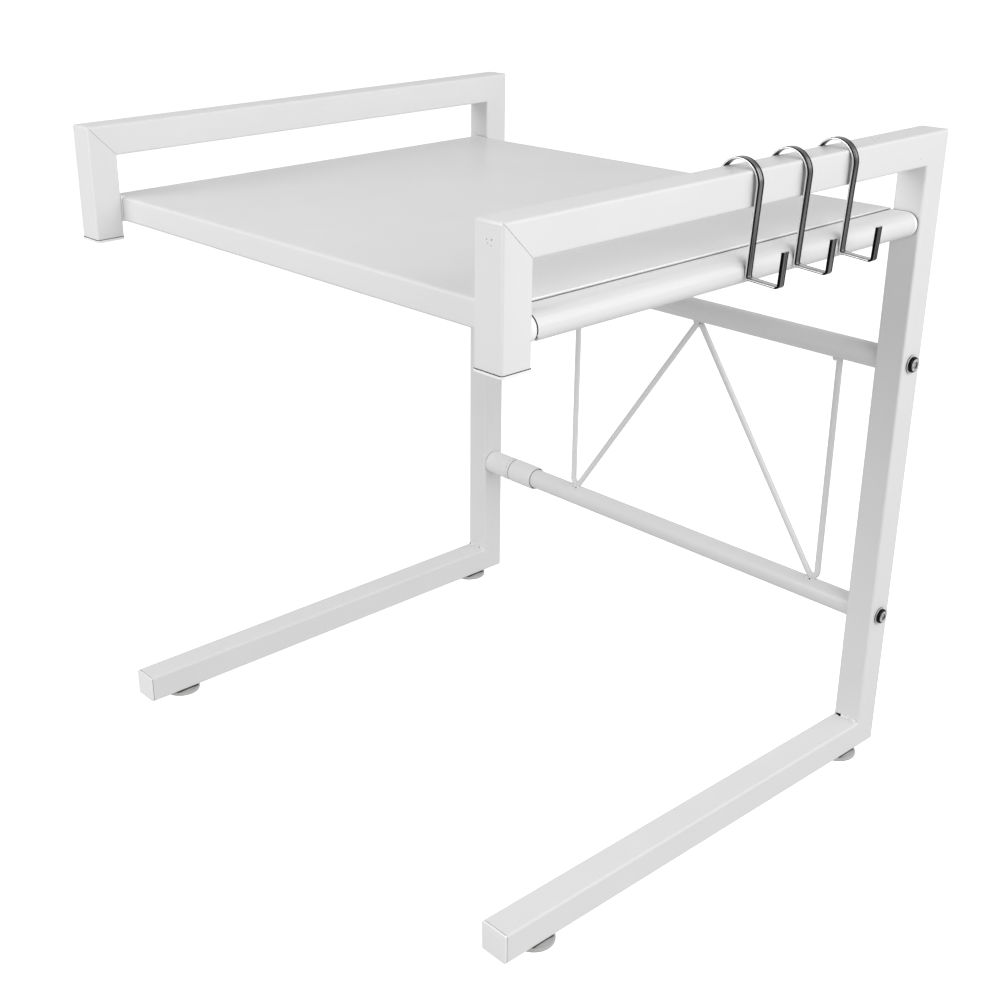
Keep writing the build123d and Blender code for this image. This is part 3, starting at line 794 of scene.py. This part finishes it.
patternStud = makeStud(footStud)
for side, middle in squareTube["middles"].items():
    for end, alongY in footStud["alongY"].items():
        stud = copyPiece(patternStud)
        stud.location = (middle * mm, alongY * mm, 0)
        foot = side + "_" + end + "_foot"
        finishPiece(stud, side + end.title() + "ThreadedStud", foot, "zinc_steel", foot + "_stud")
bpy.data.objects.remove(patternStud)
print("Studs threaded")

# Foot pads: painted shade on the top where the tube shelters it
footPad = {"sheltered": 9.3, "fromHeight": 2.45}


def makePad(look, foot, middle):
    pad = copyNode(foot + "_pad")
    giveMaterials(pad, mouldedGrey, seamShade)
    startEdit()
    for edgeX in (middle - look["sheltered"], middle + look["sheltered"]):
        pickAll()
        bpy.ops.mesh.bisect(plane_co=(edgeX * mm, 0, 0), plane_no=(1, 0, 0))
    endEdit()
    for face in pad.data.polygons:
        under = abs(face.center.x - middle * mm) < look["sheltered"] * mm
        face.material_index = 1 if under and face.center.z > look["fromHeight"] * mm else 0
    smoothRounds(pad)
    return pad


for side, middle in squareTube["middles"].items():
    for end in footStud["alongY"]:
        foot = side + "_" + end + "_foot"
        pad = makePad(footPad, foot, middle)
        finishPiece(pad, side + end.title() + "FootPad", foot, "grey_plastic", foot + "_pad")
# the dark tops of the pads are painted shade
print("Foot pads dusted")

# Nose caps: the visible rim stops short of the post and the upright, on a smaller seat;
# the plug inside the nose carries painted shade, and the seat too at the upright
noseCap = {
    "thickness": 4.0, "seatDepth": 1.1, "seatInset": 0.12, "plugLength": 8.0, "plugInset": 0.9,
    "edge": 0.25, "sides": 96, "flatAngle": 1.0,
    "seats": {"front": (-165.0, 1), "rear": (165.0, -1)},    # Y of the seat, and the way to the nose
    "noses": {"left": {"tip": -211.341, "back": -192.341, "low": 368.3, "high": 384.8},
              "right": {"tip": 191.659, "back": 172.659, "low": 368.6, "high": 383.6}},
}


def makeNoseCap(look, nose, seatY, along):
    radius, middleZ = (nose["high"] - nose["low"]) / 2 * mm, (nose["high"] + nose["low"]) / 2 * mm
    inward = 1 if nose["back"] > nose["tip"] else -1
    centreX = nose["tip"] * mm + inward * radius
    outerY, innerY = (seatY + along * look["seatDepth"]) * mm, (seatY + along * look["thickness"]) * mm
    middle = (centreX, (outerY + innerY) / 2, middleZ)
    cap = addCylinder(look["sides"], radius, abs(innerY - outerY), middle, "Y")
    applyPlace()
    startEdit()
    pickAll()
    bpy.ops.mesh.bisect(plane_co=(centreX, 0, 0), plane_no=(inward, 0, 0), clear_outer=True)
    # the open side is drawn out straight to the inner face of the frame
    pickParts(cap, "EDGE", lambda e: all(abs(v.co.x - centreX) < samePlace for v in e.verts))
    drawOut((nose["back"] * mm - centreX, 0, 0))
    bpy.ops.mesh.edge_face_add()
    mergePoints()
    faceOutward()
    bpy.ops.mesh.dissolve_limited(angle_limit=radians(look["flatAngle"]))

    def onEnd(face, faceY):
        return abs(face.normal.y) > facing and abs(face.calc_center_median().y - faceY) < samePlace

    for faceY, inset, reach in ((outerY, look["seatInset"], seatY * mm - outerY),
                                (innerY, look["plugInset"], along * look["plugLength"] * mm)):
        pickParts(cap, "FACE", lambda f: onEnd(f, faceY))
        bpy.ops.mesh.inset(thickness=inset * mm)
        drawOut((0, reach, 0))
    endEdit()
    roundEdges(cap, look["edge"])
    return cap


for side, nose in noseCap["noses"].items():
    caps = joinPieces([makeNoseCap(noseCap, nose, *seat) for seat in noseCap["seats"].values()])
    giveMaterials(caps, mouldedPoly, seamShade)
    outside = noseCap["seats"]["rear"][0]
    rimStart, rimEnd = (outside - noseCap["thickness"]) * mm, (outside - noseCap["seatDepth"]) * mm
    for face in caps.data.polygons:
        inJoint = abs(face.center.y) < rimStart - samePlace or face.center.y > rimEnd + samePlace
        face.material_index = 1 if inJoint and abs(face.normal.y) < facing else 0
    smoothRounds(caps)
    finishPiece(caps, side + "NoseEndCaps", side + "_frame", "white_plastic", side + "_nose_caps")
print("Nose caps seated")

# Tube caps: a narrow step under the flange shows as a dark line at the tube's end, its faces painted shade
capStep = {
    "width": 0.38, "depth": {"post": 0.8, "base": 0.18}, "flangeHalf": {"post": 10.4, "base": 10.0},
    "tubeEnd": {"post": 358.8, "base": -175.4},          # Z of the post's end, Y of the base tube's
    "centre": {"post": -175.0, "base": 13.8},            # Y of the post's axis, Z of the base tube's
    "axis": {"post": 2, "base": 1},                      # the post runs along Z, the base tube along Y
    "spare": 1.0,
}


def stepCap(look, side, middle, kind):
    cap = copyNode(side + "_" + kind + "_cap")
    end, centre, axis, half = (look[entry][kind] for entry in ("tubeEnd", "centre", "axis", "flangeHalf"))

    def ringBlock(reach, spare):
        low, high = [middle - reach, centre - reach], [middle + reach, centre + reach]
        low.insert(axis, end - look["width"] - spare)
        high.insert(axis, end + spare)
        return makeBlock(low, high)

    giveMaterials(cap, mouldedPoly)
    ring = ringBlock(half + look["spare"], 0)
    cutAway(ring, ringBlock(half - look["depth"][kind], look["spare"]))
    cutAway(cap, ring, seamShade)
    smoothRounds(cap)
    name = side + kind.title() + "EndCap"
    finishPiece(cap, name, side + "_frame", "white_plastic", side + "_" + kind + "_cap")


for side, middle in squareTube["middles"].items():
    for kind in ("post", "base"):
        stepCap(capStep, side, middle, kind)
print("Tube caps stepped")

# The outer board's front lip stops a little short of the left post, a dark gap with painted shade inside
boardGap = {"low": (-192.6, -165.6, 367.0), "high": (-191.85, -163.6, 386.0)}
# and its right end is a rolled rim with a thicker coat, painted whiter as a highlight, a white line beside
# the seam
boardRim = {"middleX": 171.55, "middleZ": 384.52, "halfWidth": 0.65, "halfHeight": 0.46,
            "ends": (-162.2, 162.4), "endRounding": 0.2, "sides": 32}


def makeRim(look):
    start, end = look["ends"]
    rim = addCylinder(look["sides"], 1, (end - start) * mm,
                      (look["middleX"] * mm, (start + end) / 2 * mm, look["middleZ"] * mm), "Y")
    rim.scale = (look["halfWidth"] * mm, look["halfHeight"] * mm, 1)
    applyPlace()
    roundEdges(rim, look["endRounding"])
    giveMaterials(rim, rimHighlightPaint)
    return rim


board = copyNode("shelf_outer_half")
giveMaterials(board, coatedSteel)
cutAway(board, makeBlock(boardGap["low"], boardGap["high"]), seamShade)
board = joinPieces([board, makeRim(boardRim)])
smoothRounds(board)
finishPiece(board, "shelfOuterBoard", "left_frame", "white_steel", "shelf_outer_half")

# The inner board meets its nose in a narrow open seam, at the end of the outer board; the seams' faces carry
# painted shade
noseSeam = {
    "slit": ((172.17, -164.2, 383.0), (172.80, 164.2, 384.4)),
    "noseStart": ((172.7, -161.5, 367.0), (193.0, -160.1, 385.0)),     # a seam to the front cap
    "rearEnd": ((172.0, 163.0, 382.8), (173.4, 164.9, 384.4)),
    "frontNotch": ((172.7, -161.5, 367.0), (193.0, -154.6, 375.4)),    # where that seam opens below
}
board = copyNode("shelf_inner_half")
giveMaterials(board, coatedSteel)
for cut in ("slit", "noseStart", "rearEnd"):
    cutAway(board, makeBlock(*noseSeam[cut]), seamShade)
cutAway(board, makeWedge(*noseSeam["frontNotch"]))
smoothRounds(board)
finishPiece(board, "shelfInnerBoard", "right_frame", "white_steel", "shelf_inner_half")
print("Boards trimmed")

# Lock sleeves: painted shade in the joint to the nut, and in a countersink round the tube
# that leaves the sleeve
sleeveEnd = {"jointX": -164.44, "shadeFrom": 8.624, "endX": -139.44,
             "countersink": 8.65, "sinkDepth": 1.0, "spare": 1.0}


def finishSleeve(look, level, height):
    sleeve = copyNode(level + "_lock_sleeve")
    giveMaterials(sleeve, mouldedAbs)
    axisY, depth = lockNut["axisY"], look["sinkDepth"]
    sink = makeRod(look["endX"] - depth, depth + look["spare"], look["countersink"], axisY, height)
    cutAway(sleeve, sink, seamShade)
    shadeSlot = len(sleeve.data.materials) - 1
    for face in sleeve.data.polygons:
        out = ((face.center.y - axisY * mm) ** 2 + (face.center.z - height * mm) ** 2) ** 0.5
        inJoint = face.center.x < look["jointX"] * mm and out > look["shadeFrom"] * mm
        if inJoint and abs(face.normal.x) < sideOn:
            face.material_index = shadeSlot
    smoothRounds(sleeve)
    finishPiece(sleeve, level + "LockSleeve", "right_frame", "white_plastic", level + "_lock_sleeve")


for level, height in lockNut["heights"].items():
    finishSleeve(sleeveEnd, level, height)
print("Lock sleeves finished")

# A white paper floor in a light tent: a bright ground, soft light from every side
# and three soft boxes, with sizes and places in m
studio = {
    "floorSize": 60.0, "floor": "#F4F4F4", "floorGloss": 0.9, "floorGlow": 0.70,
    "ground": 0.735, "groundEdge": (-0.12, 0.02),
    "lobes": {"right": ((1, 0, 0), 0.685), "left": ((-1, 0, 0), 0.60), "rear": ((0, 1, 0), 0.61),
              "front": ((0, -1, 0), 0.20), "overhead": ((0, 0, 1), 0.26)},
}
softBoxes = {
    "rightBox": {"place": (1.45, -0.15, 0.95), "aim": (0.0, 0.0, 0.25), "size": 1.1, "watts": 9.25},
    "frontBox": {"place": (-0.42, -1.35, 1.05), "aim": (0.0, 0.0, 0.25), "size": 1.1, "watts": 12.7},
    "rearBox": {"place": (1.30, 1.10, 1.20), "aim": (0.0, 0.0, 0.25), "size": 1.5, "watts": 5.3},
}
deselectAll()
bpy.ops.mesh.primitive_plane_add(size=studio["floorSize"], location=(0, 0, 0))
floor = bpy.context.object
floor.name = "paleFloor"
floor.visible_diffuse = False
floor.visible_glossy = False
floor.visible_shadow = False
floor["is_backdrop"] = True
paper = bpy.data.materials.new("palePaperFloor")
paper.use_nodes = True
sheet = paper.node_tree.nodes["Principled BSDF"]
sheet.inputs["Base Color"].default_value = hexToLinear(studio["floor"])
sheet.inputs["Roughness"].default_value = studio["floorGloss"]
sheet.inputs["Emission Color"].default_value = (1, 1, 1, 1)
sheet.inputs["Emission Strength"].default_value = studio["floorGlow"]
floor.data.materials.append(paper)

world = bpy.data.worlds.new("lightTent")
bpy.context.scene.world = world
world.use_nodes = True
tent = world.node_tree
tent.nodes.clear()
towards = addNode(tent, "ShaderNodeTexCoord").outputs["Generated"]
upward = addNode(tent, "ShaderNodeSeparateXYZ", links={0: towards})
edgeLow, edgeHigh = studio["groundEdge"]
above = addNode(tent, "ShaderNodeMapRange", {"From Min": edgeLow, "From Max": edgeHigh},
                {"Value": upward.outputs["Z"]}, interpolation_type="SMOOTHSTEP")
sky = None
for direction, glow in studio["lobes"].values():
    towardsIt = addNode(tent, "ShaderNodeVectorMath", {1: direction}, {0: towards}, operation="DOT_PRODUCT")
    ahead = addNode(tent, "ShaderNodeMath", {1: 0.0}, {0: towardsIt.outputs["Value"]}, operation="MAXIMUM")
    lit = addNode(tent, "ShaderNodeMath", {1: glow}, {0: ahead.outputs[0]}, operation="MULTIPLY")
    if sky:
        lit = addNode(tent, "ShaderNodeMath", links={0: sky.outputs[0], 1: lit.outputs[0]})
    sky = lit
strength = addNode(tent, "ShaderNodeMix", {mixValueA: studio["ground"]},
                   {mixShare: above.outputs[0], mixValueB: sky.outputs[0]})
backdrop = addNode(tent, "ShaderNodeBackground", links={"Strength": strength.outputs[mixedValue]})
addNode(tent, "ShaderNodeOutputWorld", links={"Surface": backdrop.outputs[0]})

for name, light in softBoxes.items():
    reach = Vector(light["aim"]) - Vector(light["place"])
    turn = reach.to_track_quat("-Z", "Y").to_euler()
    bpy.ops.object.light_add(type="AREA", location=light["place"], rotation=turn)
    lamp = bpy.context.object
    lamp.name = name
    lamp.data.shape = "DISK"
    lamp.data.size = light["size"]
    lamp.data.energy = light["watts"]
bpy.context.scene.view_settings.view_transform = "Standard"
print("Studio lit")

low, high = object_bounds()
